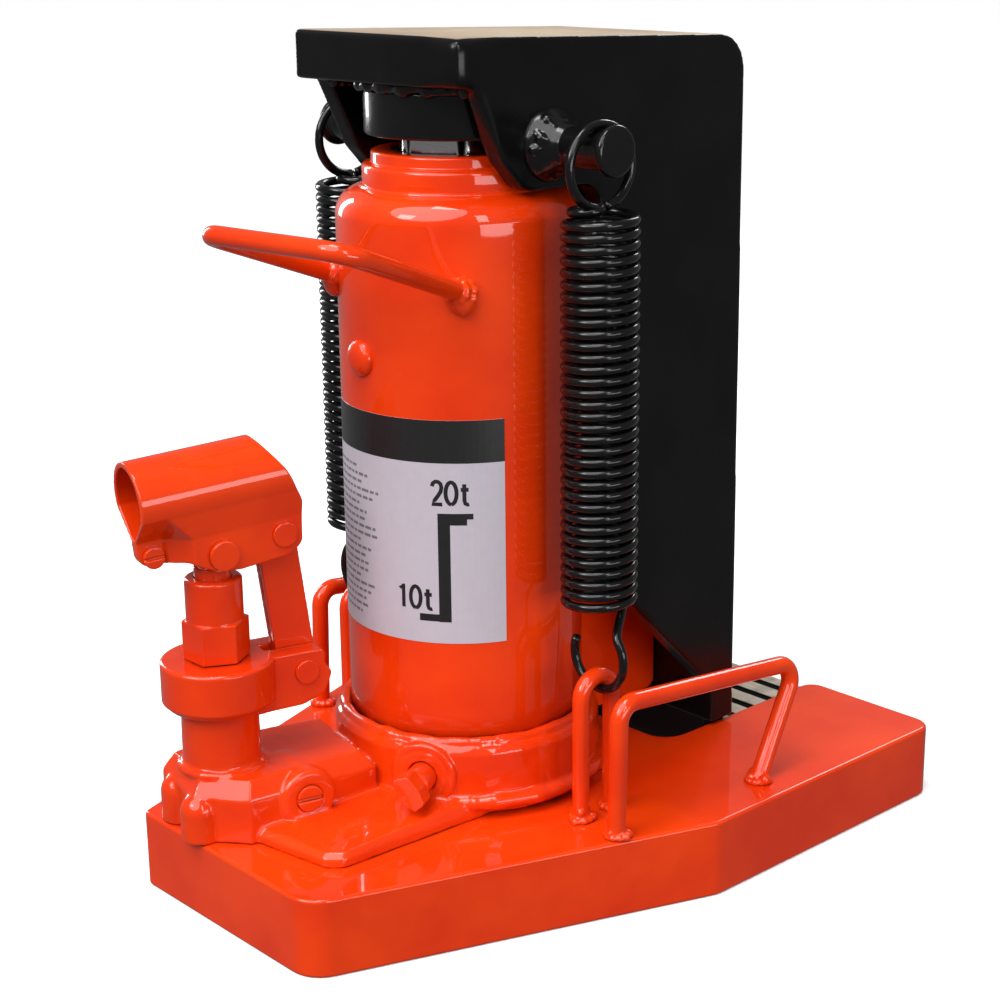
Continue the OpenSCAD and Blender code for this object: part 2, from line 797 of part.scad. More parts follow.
base_plate();
valve_body();
tank();
tank_gasket();
top_nut();
rod_wiper();
main_cylinder();
cylinder_gasket();
ram();
ram_piston();
ram_seal();
ram_cap();
head_plate();
side_plate(-1);  // side_plate_left
side_plate(1);  // side_plate_right
back_plate();
toe();
guide_block();
spring_post(-1);  // spring_post_left
spring_post(1);  // spring_post_right
spring(-1);  // spring_left
spring(1);  // spring_right
spring_eye(-1);  // spring_eye_left
spring_eye(1);  // spring_eye_right
side_handle(-1);  // side_handle_left
side_handle(1);  // side_handle_right
carry_handle();
filler_plug();
name_label();
pump_cylinder();
swivel_ring();
gland_nut();
pump_piston();
pump_seal();
handle_socket();
clamp_screw();
piston_pin();
upper_link_pin();
lower_link_pin();
link_plates();
release_valve();
release_ball();
relief_plug();
relief_spring();
relief_ball();
check_plugs();
check_balls();
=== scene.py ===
import math
import random

import bmesh
import bpy
import numpy as np
from mathutils import Matrix, Vector, noise


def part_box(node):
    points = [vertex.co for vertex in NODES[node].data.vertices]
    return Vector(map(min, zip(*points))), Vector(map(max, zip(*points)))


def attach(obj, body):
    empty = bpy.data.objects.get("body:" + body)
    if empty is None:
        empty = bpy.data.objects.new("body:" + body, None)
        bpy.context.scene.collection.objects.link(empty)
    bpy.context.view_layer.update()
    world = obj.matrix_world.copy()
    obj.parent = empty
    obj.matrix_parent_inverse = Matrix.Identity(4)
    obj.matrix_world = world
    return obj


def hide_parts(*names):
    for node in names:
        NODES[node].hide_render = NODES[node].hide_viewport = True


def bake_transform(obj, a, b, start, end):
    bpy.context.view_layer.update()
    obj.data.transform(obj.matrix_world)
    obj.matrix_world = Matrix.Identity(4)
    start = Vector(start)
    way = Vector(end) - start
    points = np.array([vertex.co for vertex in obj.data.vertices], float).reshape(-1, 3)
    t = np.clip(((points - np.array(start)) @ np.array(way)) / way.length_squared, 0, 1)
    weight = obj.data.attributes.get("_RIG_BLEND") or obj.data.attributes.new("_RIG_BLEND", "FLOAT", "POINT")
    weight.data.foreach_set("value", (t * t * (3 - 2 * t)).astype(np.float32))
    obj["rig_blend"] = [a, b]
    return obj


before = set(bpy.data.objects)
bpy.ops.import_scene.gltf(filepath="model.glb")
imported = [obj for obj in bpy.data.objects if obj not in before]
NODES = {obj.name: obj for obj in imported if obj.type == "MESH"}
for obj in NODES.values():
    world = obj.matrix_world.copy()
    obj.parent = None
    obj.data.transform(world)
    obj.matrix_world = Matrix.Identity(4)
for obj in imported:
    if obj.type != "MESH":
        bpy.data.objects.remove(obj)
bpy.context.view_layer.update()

MM = 0.001


# ---------------------------------------------------------------- materials
class Nodes:
    """A short way to write a material's node tree."""

    def __init__(self, name):
        self.material = bpy.data.materials.new(name)
        self.material.use_nodes = True
        self.tree = self.material.node_tree
        self.shader = self.tree.nodes["Principled BSDF"]

    def add(self, kind, inputs=(), **settings):
        node = self.tree.nodes.new(kind)
        for key, value in settings.items():
            setattr(node, key, value)
        for key, value in dict(inputs).items():
            if isinstance(value, bpy.types.NodeSocket):
                self.tree.links.new(value, node.inputs[key])
            else:
                node.inputs[key].default_value = value
        return node

    def set(self, **values):
        for key, value in values.items():
            socket = self.shader.inputs[key.replace("_", " ")]
            if isinstance(value, bpy.types.NodeSocket):
                self.tree.links.new(value, socket)
            else:
                socket.default_value = value

    def place(self):
        return self.add("ShaderNodeTexCoord").outputs["Object"]

    def noise(self, scale, detail=3.0, rough=0.5, stretch=None):
        vector = self.place()
        if stretch:
            vector = self.add("ShaderNodeMapping", {"Vector": vector, "Scale": stretch}).outputs[0]
        return self.add("ShaderNodeTexNoise", {
            "Vector": vector, "Scale": scale, "Detail": detail, "Roughness": rough}).outputs["Fac"]

    def ramp(self, fac, stops):
        node = self.add("ShaderNodeValToRGB", {"Fac": fac})
        elements = node.color_ramp.elements
        while len(elements) < len(stops):
            elements.new(0.5)
        for element, (position, colour) in zip(elements, stops):
            element.position = position
            element.color = (*colour, 1) if len(colour) == 3 else colour
        return node.outputs["Color"]

    def mix(self, fac, a, b):
        node = self.add("ShaderNodeMix", data_type="RGBA")
        for socket, value in zip((node.inputs[0], node.inputs[6], node.inputs[7]), (fac, a, b)):
            if isinstance(value, bpy.types.NodeSocket):
                self.tree.links.new(value, socket)
            else:
                socket.default_value = value if isinstance(value, float) else (*value, 1)
        return node.outputs[2]

    def maths(self, operation, a, b=0.0, clamp=False):
        node = self.add("ShaderNodeMath", operation=operation, use_clamp=clamp)
        for socket, value in zip(node.inputs, (a, b)):
            if isinstance(value, bpy.types.NodeSocket):
                self.tree.links.new(value, socket)
            else:
                socket.default_value = value
        return node.outputs[0]

    def bump(self, layers):
        """layers: (height socket, strength, distance), the finest first."""
        normal = None
        for height, strength, distance in layers:
            inputs = {"Height": height, "Strength": strength, "Distance": distance}
            if normal:
                inputs["Normal"] = normal
            normal = self.add("ShaderNodeBump", inputs).outputs["Normal"]
        self.set(Normal=normal)

    def remap(self, value, low=0.0, high=1.0, to_low=0.0, to_high=1.0):
        """low..high becomes to_low..to_high, and goes no further."""
        return self.add("ShaderNodeMapRange", {
            "Value": value, "From Min": low, "From Max": high,
            "To Min": to_low, "To Max": to_high}, clamp=True).outputs[0]

    def normal_z(self):
        """How far a face points upwards, from -1 to 1."""
        normal = self.add("ShaderNodeNewGeometry").outputs["Normal"]
        return self.add("ShaderNodeSeparateXYZ", {"Vector": normal}).outputs["Z"]

    def crevice(self, distance):
        """1 in a crevice and 0 on an open face."""
        open_share = self.add("ShaderNodeAmbientOcclusion", {"Distance": distance},
                              samples=8).outputs["AO"]
        return self.maths("SUBTRACT", 1.0, open_share, clamp=True)

    def edge(self, radius):
        """1 on a convex or concave edge of about that radius."""
        round_normal = self.add("ShaderNodeBevel", {"Radius": radius}, samples=6).outputs[0]
        normal = self.add("ShaderNodeNewGeometry").outputs["Normal"]
        dot = self.add("ShaderNodeVectorMath", operation="DOT_PRODUCT")
        self.tree.links.new(round_normal, dot.inputs[0])
        self.tree.links.new(normal, dot.inputs[1])
        turn = self.maths("SUBTRACT", 1.0, dot.outputs["Value"])
        return self.remap(turn, 0.03, 0.25)


NONE, FULL = (0, 0, 0), (1, 1, 1)
ORANGE_DEEP, ORANGE = (0.64, 0.028, 0.001), (0.74, 0.044, 0.0016)
ORANGE_SHADE_AND_DIRT = (0.16, 0.018, 0.003)
BLACK_STOPS = [(0.3, (0.0025, 0.0025, 0.003)), (0.7, (0.005, 0.0048, 0.005))]
BLACK_GLOSS = 0.22                     # roughness of unworn black enamel
EDGE_WEAR = 0.0016                     # radius of the edges that wear, in metres


def enamel(name, cast=0.0):
    """Thick gloss orange enamel: colour drifts a little, and is darkened in the crevices by painted shade
    mixed with real dirt.
    cast is the strength of a casting's coarse bumps under the paint."""
    m = Nodes(name)
    drift = m.ramp(m.noise(22, 3), [(0.35, ORANGE_DEEP), (0.65, ORANGE)])
    # painted shade: ambient occlusion darkens the crevices towards dark red-brown, in noise patches that also
    # stand for real dirt
    shade_and_dirt = m.remap(m.crevice(0.004), 0.42, 0.95, 0.0, 0.75)
    patchy = m.maths("MULTIPLY", shade_and_dirt, m.ramp(m.noise(160, 4), [(0.4, NONE), (0.6, FULL)]))
    colour = m.mix(patchy, drift, ORANGE_SHADE_AND_DIRT)
    m.set(Base_Color=colour, Roughness=0.4, Specular_IOR_Level=0.05, Coat_Weight=1.0,
          Coat_Roughness=0.03, Coat_IOR=1.45)
    layers = [(m.noise(700, 2), 0.05, 0.0004), (m.noise(85, 3), 0.22, 0.0011)]
    if cast:
        layers.append((m.noise(38, 3), cast, 0.003))
    m.bump(layers)
    return m.material


def black_enamel(name, worn=0.0):
    """Gloss black enamel, with bare steel and brown showing on worn edges."""
    m = Nodes(name)
    base = m.ramp(m.noise(30, 3), BLACK_STOPS)
    if worn:
        chips = m.ramp(m.noise(240, 5, 0.7), [(0.47, NONE), (0.55, FULL)])
        patches = m.ramp(m.noise(24, 3), [(0.46, NONE), (0.6, FULL)])
        share = m.maths("MULTIPLY", m.maths("MULTIPLY", m.edge(EDGE_WEAR), chips), patches)
        share = m.maths("MULTIPLY", share, worn, clamp=True)
        bare = m.ramp(m.noise(90, 4), [(0.35, (0.10, 0.055, 0.032)), (0.65, (0.30, 0.26, 0.23))])
        base = m.mix(share, base, bare)
        m.set(Roughness=m.remap(share, to_low=BLACK_GLOSS, to_high=0.55))
    else:
        m.set(Roughness=BLACK_GLOSS)
    m.set(Base_Color=base, Specular_IOR_Level=0.2, Coat_Weight=0.35, Coat_Roughness=0.04)
    m.bump([(m.noise(650, 2), 0.05, 0.0004), (m.noise(70, 3), 0.2, 0.0012)])
    return m.material


def bare_steel_top_with_sheen(name):
    """The carriage's plates: black enamel, with bare ground steel on the head's top face, its warm tan tone a
    painted reflection.
    """
    m = Nodes(name)
    height = m.add("ShaderNodeSeparateXYZ", {"Vector": m.place()}).outputs["Z"]
    top = m.maths("MULTIPLY", m.remap(m.normal_z(), 0.93, 0.985),
                  m.maths("GREATER_THAN", height, 0.355))
    grain = m.noise(60, 5, 0.6, (1, 18, 1))
    # painted reflection: the bare steel's warm tan stands for a warm light mirrored in it, laid over the
    # steel's own grain
    tan = m.ramp(grain, [(0.2, (0.34, 0.25, 0.17)), (0.5, (0.50, 0.40, 0.29)),
                         (0.8, (0.66, 0.56, 0.44))])
    stain = m.ramp(m.noise(14, 4), [(0.4, NONE), (0.7, (0.5, 0.5, 0.5))])
    tan = m.mix(stain, tan, (0.24, 0.15, 0.10))
    chips = m.maths("MULTIPLY", m.edge(EDGE_WEAR),
                    m.ramp(m.noise(200, 5, 0.7), [(0.46, NONE), (0.56, FULL)]))
    black = m.mix(chips, m.ramp(m.noise(30, 3), BLACK_STOPS), (0.17, 0.11, 0.08))
    m.set(Base_Color=m.mix(top, black, tan), Metallic=m.maths("MULTIPLY", top, 0.35),
          Roughness=m.remap(top, to_low=0.2, to_high=0.5), Specular_IOR_Level=0.22)
    m.bump([(m.noise(650, 2), 0.05, 0.0004), (grain, 0.06, 0.0005), (m.noise(70, 3), 0.15, 0.001)])
    return m.material


def toe_finish(name, groove_top):
    """Black enamel that is worn to bare steel on the lands between the toe's grooves."""
    m = Nodes(name)
    axes = m.add("ShaderNodeSeparateXYZ", {"Vector": m.place()})
    high = m.remap(axes.outputs["Z"], groove_top - 0.0007, groove_top - 0.0002)
    flat = m.remap(m.normal_z(), 0.7, 0.95)
    behind = m.remap(axes.outputs["Y"], 0.126, 0.132)
    worn = m.ramp(m.noise(55, 4, 0.6), [(0.30, (0.35, 0.35, 0.35)), (0.5, FULL)])
    share = m.maths("MULTIPLY", m.maths("MULTIPLY", high, flat), m.maths("MULTIPLY", behind, worn))
    steel = m.ramp(m.noise(130, 4, 0.6, (1, 6, 1)),
                   [(0.3, (0.38, 0.31, 0.24)), (0.7, (0.62, 0.55, 0.46))])
    m.set(Base_Color=m.mix(share, (0.008, 0.008, 0.009), steel),
          Metallic=m.maths("MULTIPLY", share, 0.5), Specular_IOR_Level=0.25,
          Roughness=m.remap(share, to_low=BLACK_GLOSS, to_high=0.42))
    m.bump([(m.noise(500, 3), 0.08, 0.0004), (m.noise(90, 3), 0.15, 0.001)])
    return m.material


def metal(name, colour, rough, grain, stretch):
    """Bare metal with fine lines: grain is their scale and stretch the way they run."""
    m = Nodes(name)
    lines = m.noise(grain, 4, 0.6, stretch)
    m.set(Base_Color=m.ramp(lines, [(0.3, tuple(0.85 * c for c in colour)), (0.7, colour)]),
          Metallic=1.0, Roughness=m.remap(lines, to_low=rough * 0.8, to_high=rough * 1.3))
    m.bump([(lines, 0.04, 0.0003)])
    return m.material


def dull(name, colour, rough, bump=0.1, metallic=0.0, vary=0.2):
    """A plain fine-grained surface. vary is how much darker its grain may be."""
    m = Nodes(name)
    spread = m.noise(260, 3)
    m.set(Base_Color=m.ramp(spread, [(0.3, tuple((1 - vary) * c for c in colour)), (0.7, colour)]),
          Roughness=rough, Metallic=metallic)
    m.bump([(spread, bump, 0.0003)])
    return m.material


PAINT = enamel("orange_enamel")
CAST_PAINT = enamel("orange_enamel_on_casting", cast=0.22)
BLACK = black_enamel("black_enamel", worn=1.0)
BLACK_SMOOTH = black_enamel("black_enamel_unworn")
HEAD = bare_steel_top_with_sheen("head_plate_with_painted_sheen")
TOE = toe_finish("toe_finish", 0.030)
CHROME = metal("hard_chrome", (0.66, 0.67, 0.69), 0.14, 300, (1, 1, 12))
STEEL = metal("ground_steel", (0.46, 0.46, 0.48), 0.32, 200, (1, 1, 8))
RUBBER = dull("seal_rubber", (0.022, 0.022, 0.024), 0.55)
COPPER = dull("copper_gasket", (0.60, 0.27, 0.13), 0.35, metallic=1.0)
BURNT = black_enamel("burnt_weld", worn=2.5)
FOIL = dull("label_foil", (0.45, 0.415, 0.47), 0.36, 0.02, vary=0.04)
INK = dull("label_ink", (0.010, 0.010, 0.011), 0.38, 0.03)
PRINT = dull("label_small_print", (0.16, 0.15, 0.18), 0.45, 0.03)


# ---------------------------------------------------------------- mesh helpers
def add_object(name, data):
    made = bpy.data.objects.new(name, data)
    bpy.context.scene.collection.objects.link(made)
    return made


def link(name, mesh, finish, body, replaces=()):
    """A finished mesh becomes a piece that rides on a body."""
    piece = add_object(name, mesh)
    mesh.materials.clear()
    mesh.materials.append(finish)
    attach(piece, body)
    if replaces:
        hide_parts(*replaces)


def mesh_of(name, points, faces, smooth=True):
    mesh = bpy.data.meshes.new(name)
    mesh.from_pydata([tuple(p) for p in points], [], faces)
    mesh.polygons.foreach_set("use_smooth", [smooth] * len(mesh.polygons))
    mesh.update()
    return mesh


def lathe(profile, steps=160):
    """(points, faces) of a closed outline (radius, z) turned about Z. Millimetres in, metres out."""
    points, faces, rows = [], [], len(profile)
    for i in range(steps):
        a = 2 * math.pi * i / steps
        points += [(r * MM * math.cos(a), r * MM * math.sin(a), z * MM) for r, z in profile]
    for i in range(steps):
        j = (i + 1) % steps
        faces += [(i * rows + k, j * rows + k, j * rows + (k + 1) % rows, i * rows + (k + 1) % rows)
                  for k in range(rows)]
    return points, faces


def rounded(outline, radii, steps=6):
    """A closed 2-D outline with its corners rounded by arcs."""
    done = []
    count = len(outline)
    for i, radius in enumerate(radii):
        a, b, c = (Vector(outline[(i + k) % count]) for k in (-1, 0, 1))
        if radius <= 0:
            done.append(tuple(b))
            continue
        done += [tuple(p) for p in bend(a, b, c, radius, steps)]
    return done


def bend(a, b, c, radius, steps):
    """Points of the arc that rounds corner b of a-b-c."""
    u, v = (a - b).normalized(), (c - b).normalized()
    half = math.acos(max(-1, min(1, u.dot(v)))) / 2
    centre = b + (u + v).normalized() * radius / math.sin(half)
    s, e = b + u * radius / math.tan(half) - centre, b + v * radius / math.tan(half) - centre
    turn = math.pi - 2 * half
    shares = [k / steps for k in range(steps + 1)]
    return [centre + (s * math.sin(turn * (1 - k)) + e * math.sin(turn * k)) / math.sin(turn) for k in shares]


def rounded_path(corners, radius, steps=10):
    """An open path with each inner corner rounded to the same radius."""
    p = [Vector(c) for c in corners]
    path = [p[0]]
    for i in range(1, len(p) - 1):
        path += bend(p[i - 1], p[i], p[i + 1], radius, steps)
    return path + [p[-1]]


def resample(path, step):
    """Points about step apart along a path."""
    done = [path[0]]
    for a, b in zip(path, path[1:]):
        parts = max(1, round((b - a).length / step))
        done += [a.lerp(b, k / parts) for k in range(1, parts + 1)]
    return done


def tube(path, radius, sides=16, closed=False):
    """(points, faces) of a round tube along a path; radius is a number or one number per point."""
    count = len(path)
    radii = radius if hasattr(radius, "__len__") else [radius] * count
    points, faces, side = [], [], None
    for i, p in enumerate(path):
        before = path[i - 1] if i or closed else p
        after = path[(i + 1) % count] if i < count - 1 or closed else p
        t = (after - before).normalized()
        if side is None:
            side = t.orthogonal().normalized()
        side = (side - t * side.dot(t)).normalized()
        other = t.cross(side)
        points += [p + radii[i] * (math.cos(a) * side + math.sin(a) * other)
                   for a in (2 * math.pi * k / sides for k in range(sides))]
    for i in range(count if closed else count - 1):
        j = (i + 1) % count
        shift = 0
        if closed and j == 0:
            first = points[i * sides]
            shift = min(range(sides), key=lambda k: (points[k] - first).length)
        faces += [(i * sides + k, i * sides + (k + 1) % sides,
                   j * sides + (k + 1 + shift) % sides, j * sides + (k + shift) % sides)
                  for k in range(sides)]
    if not closed:
        faces.append(tuple(range(sides - 1, -1, -1)))
        faces.append(tuple((count - 1) * sides + k for k in range(sides)))
    return points, faces


BEAD_STEP = 0.7                        # millimetres between the rings of a weld bead


def bead(path, radius, seed, closed=False, lumps=0.16, pitch=2.6):
    """A weld bead: a tube whose radius ripples along the path. Millimetres in, metres out."""
    fine = resample([Vector(p) for p in path] + ([Vector(path[0])] if closed else []), BEAD_STEP)
    if closed:
        fine.pop()
    radii = []
    for i, p in enumerate(fine):
        ripple = 0.5 + 0.5 * math.sin(2 * math.pi * i * BEAD_STEP / pitch)
        drift = noise.noise(p * 0.12 + Vector((seed * 7.3, 0, 0)))
        radii.append(radius * (1 + lumps * (ripple - 0.5) + 0.28 * drift) * MM)
    return tube([p * MM for p in fine], radii, 10, closed)


def ring(centre, axis, radius, steps=64):
    """Points of a circle, in millimetres."""
    axis = Vector(axis).normalized()
    u = axis.orthogonal().normalized()
    v = axis.cross(u)
    return [Vector(centre) + radius * (math.cos(a) * u + math.sin(a) * v)
            for a in (2 * math.pi * k / steps for k in range(steps))]


def ball(centre, radius, squash=(1, 1, 1)):
    """(points, faces) of a sphere, flattened by squash. Millimetres in, metres out."""
    shape = bmesh.new()
    bmesh.ops.create_icosphere(shape, subdivisions=4, radius=1)
    points = [tuple((centre[k] + v.co[k] * radius * squash[k]) * MM for k in range(3))
              for v in shape.verts]
    faces = [tuple(v.index for v in f.verts) for f in shape.faces]
    shape.free()
    return points, faces


def turned(points, matrix):
    return [tuple(matrix @ Vector(p)) for p in points]


def cad_mesh(*nodes):
    """The (points, faces) of some CAD nodes, welded at their split edges."""
    points, faces = [], []
    for name in nodes:
        shape = bmesh.new()
        shape.from_mesh(NODES[name].data)
        bmesh.ops.remove_doubles(shape, verts=shape.verts, dist=1e-6)
        start = len(points)
        shape.verts.index_update()
        points += [tuple(v.co) for v in shape.verts]
        faces += [tuple(start + v.index for v in f.verts) for f in shape.faces]
        shape.free()
    return points, faces


def applied(piece):
    """A piece's mesh with its modifiers applied."""
    graph = bpy.context.evaluated_depsgraph_get()
    return bpy.data.meshes.new_from_object(piece.evaluated_get(graph))


def fuse(name, parts, body, finish, replaces=(), voxel=0.6, smooth=3, keep=0.5,
         rough=None, clip=None, soft_at=None):
    """Melts overlapping solids into one skin with soft inner and outer corners, like thick paint
    over welds. voxel is in millimetres, smooth a number of passes, and keep the share of faces
    that is left. rough is (height, scale) in millimetres of an uneven cast surface. clip is the
    lowest z. soft_at gives the extra melting, from 0 to 1, at a point in millimetres."""
    points, faces = [], []
    for some_points, some_faces in parts:
        start = len(points)
        points += [tuple(p) for p in some_points]
        faces += [tuple(start + i for i in f) for f in some_faces]
    piece = add_object(name, mesh_of(name, points, faces))
    remesh = piece.modifiers.new("melt", "REMESH")
    remesh.mode, remesh.voxel_size, remesh.adaptivity = "VOXEL", voxel * MM, 0.0
    soften = piece.modifiers.new("soften", "SMOOTH")
    soften.factor, soften.iterations = 0.5, smooth
    made = applied(piece)
    count = len(made.vertices)
    co = np.empty(count * 3)
    made.vertices.foreach_get("co", co)
    co = co.reshape(-1, 3)
    if rough:
        height, scale = rough
        normals = np.empty(count * 3)
        made.vertices.foreach_get("normal", normals)
        push = np.array([noise.fractal(Vector(p) / (scale * MM), 1.0, 2.0, 3) for p in co])
        co = co + normals.reshape(-1, 3) * (push[:, None] * height * MM)
    if clip is not None:
        co[:, 2] = np.maximum(co[:, 2], clip * MM)
    made.vertices.foreach_set("co", co.ravel())
    old = piece.data
    piece.data = made
    piece.modifiers.clear()
    bpy.data.meshes.remove(old)
    if soft_at:
        group = piece.vertex_groups.new(name="soft")
        for index, point in enumerate(co):
            weight = soft_at(point / MM)
            if weight > 0:
                group.add([index], weight, "REPLACE")
        rounder = piece.modifiers.new("rounder", "SMOOTH")
        rounder.factor, rounder.iterations, rounder.vertex_group = 0.6, 160, "soft"
    if keep < 1:
        thin = piece.modifiers.new("thin", "DECIMATE")
        thin.ratio = keep
    if piece.modifiers:
        fewer = applied(piece)
        piece.modifiers.clear()
        piece.data = fewer
    mesh = piece.data
    mesh.name = name
    mesh.polygons.foreach_set("use_smooth", [True] * len(mesh.polygons))
    bpy.data.objects.remove(piece)
    link(name, mesh, finish, body, replaces)


def smooth_shading():
    """A geometry node group that welds split edges and shades smooth."""
    group = bpy.data.node_groups.new("weld_and_smooth", "GeometryNodeTree")
    group.interface.new_socket("Geometry", in_out="INPUT", socket_type="NodeSocketGeometry")
    group.interface.new_socket("Geometry", in_out="OUTPUT", socket_type="NodeSocketGeometry")
    start, end = group.nodes.new("NodeGroupInput"), group.nodes.new("NodeGroupOutput")
    merge = group.nodes.new("GeometryNodeMergeByDistance")
    shade = group.nodes.new("GeometryNodeSetShadeSmooth")
    merge.inputs["Distance"].default_value = 1e-6
    group.links.new(start.outputs[0], merge.inputs["Geometry"])
    group.links.new(merge.outputs[0], shade.inputs["Geometry"])
    group.links.new(shade.outputs[0], end.inputs[0])
    return group


WELD = smooth_shading()


def soften_cad(name, finish, width=0, segments=3):
    """A CAD node keeps its mesh and gets a finish. width rounds its edges softly, in millimetres."""
    node = NODES[name]
    node.data.materials.clear()
    node.data.materials.append(finish)
    node.modifiers.new("weld", "NODES").node_group = WELD
    if width:
        flat = node.modifiers.new("flat", "DECIMATE")
        flat.decimate_type, flat.angle_limit = "DISSOLVE", math.radians(0.5)
        edges = node.modifiers.new("edges", "BEVEL")
        edges.width, edges.segments = width * MM, segments
        edges.limit_method, edges.angle_limit = "ANGLE", math.radians(28)
        edges.miter_outer = "MITER_ARC"
    shade = node.modifiers.new("shade", "WEIGHTED_NORMAL")
    shade.keep_sharp, shade.weight = True, 60


# ---------------------------------------------------------------- base and casting
BOTH_SIDES = (("right", 1), ("left", -1))
ROD_FOOT_Z, ROD_CLIP_Z = 35.4, 35.3    # where bent rods start, and the lowest their welds reach
CASTING_CLIP_Z = 35.25
EYE_X, EYE_BEND, EYE_TOP = 80.35, 9.2, 99.8
HANDLE_X = 102.5
HANDLE_R, EYE_R = 4.1, 3.8

soften_cad("base_plate", PAINT, width=1.6, segments=4)

collar_beads = [bead(ring((0, 0, 68.6), (0, 0, 1), 55.4, 160), 2.6, 1, True, 0.05),
                bead(ring((0, 0, 42.3), (0, 0, 1), 61.0, 160), 3.4, 2, True, 0.05)]
PUMP_AT = Vector((-27.5, -117.0, 0.0))
PUMP_TURN = math.atan2(27.5, 117.0)
PUMP = Matrix.Translation(PUMP_AT * MM) @ Matrix.Rotation(-PUMP_TURN, 4, "Z")
VALVE_ANGLE = math.radians(-60)


def at_pump(part):
    """A part made in the pump's own frame, moved to its place."""
    points, faces = part
    return turned(points, PUMP), faces


valve_way = Vector((math.cos(VALVE_ANGLE), math.sin(VALVE_ANGLE), 0))
cast_parts = [cad_mesh("valve_body"), *collar_beads,
              at_pump(bead(ring((0, 0, 63.0), (0, 0, 1), 17.6), 2.0, 3, True, 0.05)),
              bead(ring(valve_way * 59.8 + Vector((0, 0, 54.5)), valve_way, 13.2), 1.8, 4, True, 0.05)]
fuse("casting", cast_parts, "base", CAST_PAINT, ["valve_body"],
     voxel=0.7, smooth=5, keep=0.45, rough=(0.35, 16), clip=CASTING_CLIP_Z)


def spatter(foot, rod, seed):
    """A hand-made weld round a rod's foot: a low bead with uneven blobs on it. Millimetres in."""
    dice = random.Random(seed)
    blobs = [bead(ring((*foot, 36.2), (0, 0, 1), rod + 0.3), 1.5, seed, True, 0.35, 5.0)]
    for k in range(9):
        angle, size = dice.uniform(0, 2 * math.pi), dice.uniform(1.1, 2.5)
        reach = rod + dice.uniform(-0.8, 1.6)
        centre = (foot[0] + reach * math.cos(angle), foot[1] + reach * math.sin(angle),
                  ROD_FOOT_Z + dice.uniform(0.2, 3.4) * (1.2 - 0.3 * (reach - rod)))
        blobs.append(ball(centre, size))
    return blobs


for word, side in BOTH_SIDES:
    x = HANDLE_X * side
    splay = 5 * side
    rod = rounded_path([(x, -6.5, ROD_FOOT_Z), (x, -5, 95.5), (x, 112, 83.5),
                        (x + splay, 80, ROD_FOOT_Z)], 8)
    parts = [tube([p * MM for p in resample(rod, 2.0)], HANDLE_R * MM, 28)]
    for k, foot in enumerate(((x, -6.5), (x + splay, 80))):
        parts += spatter(foot, 4.0, 10 * k + side)
    fuse("side_handle_" + word + "_rod", parts, "base", PAINT, ["side_handle_" + word],
         voxel=0.55, smooth=4, clip=ROD_CLIP_Z)

    eye_z = EYE_TOP - EYE_BEND
    arch = [Vector((EYE_X * side, 3.5 + EYE_BEND * math.cos(a), eye_z + EYE_BEND * math.sin(a)))
            for a in (math.pi * k / 20 for k in range(21))]
    legs = [Vector((arch[0].x, arch[0].y, ROD_FOOT_Z)), *arch,
            Vector((arch[0].x, arch[-1].y, ROD_FOOT_Z))]
    parts = [tube([p * MM for p in resample(legs, 1.5)], EYE_R * MM, 28)]
    for k, leg in enumerate((legs[0], legs[-1])):
        parts += spatter((leg.x, leg.y), EYE_R, 20 + 4 * k + side)
    fuse("spring_eye_" + word + "_rod", parts, "base", PAINT, ["spring_eye_" + word],
         voxel=0.5, smooth=4, clip=ROD_CLIP_Z)

# ---------------------------------------------------------------- tank, nut and guide block
TANK_R, TANK_TOP, SHOULDER_R = 53.0, 303.4, 12
shoulder = [(TANK_R - SHOULDER_R * (1 - math.cos(a)), TANK_TOP - SHOULDER_R * (1 - math.sin(a)))
            for a in (math.radians(d) for d in range(0, 91, 6))]
tank_wall = [(50, 62), (TANK_R, 62), *[(TANK_R, z) for z in range(80, 290, 15)], *shoulder,
             (35.05, TANK_TOP), (35.05, 299.4), (42, 299.4), (50, 291.4)]
link("tank_shell", mesh_of("tank_shell", *lathe(tank_wall, 256)), PAINT, "base", ["tank"])

nut = rounded([(35.0, 303.45), (41.2, 303.45), (41.2, 313.2), (37.2, 313.2), (37.2, 318.4),
               (28.0, 318.4), (28.0, 314.4), (25.05, 314.4), (25.05, 309.4), (35.0, 309.4)],
              [0, 0.8, 2.2, 0.9, 1.4, 0.5, 0, 0, 0, 0], 5)
link("collar_nut", mesh_of("collar_nut", *lathe(nut, 200)), PAINT, "base", ["top_nut"])
fuse("tank_neck_bead", [bead(ring((0, 0, 303.0), (0, 0, 1), 41.0, 128), 1.5, 31, True, 0.05)],
     "base", PAINT, voxel=0.5, smooth=3)

guide_y = math.sqrt(TANK_R ** 2 - 14 ** 2)
guide_beads = [bead([(s * 14.2, guide_y - 0.3, z) for z in (69, 116)], 3.0, 40 + s, False, 0.2)
               for s in (-1, 1)]
fuse("guide_block_welded", [cad_mesh("guide_block"), *guide_beads], "base", PAINT,
     ["guide_block"], voxel=0.7, smooth=4)

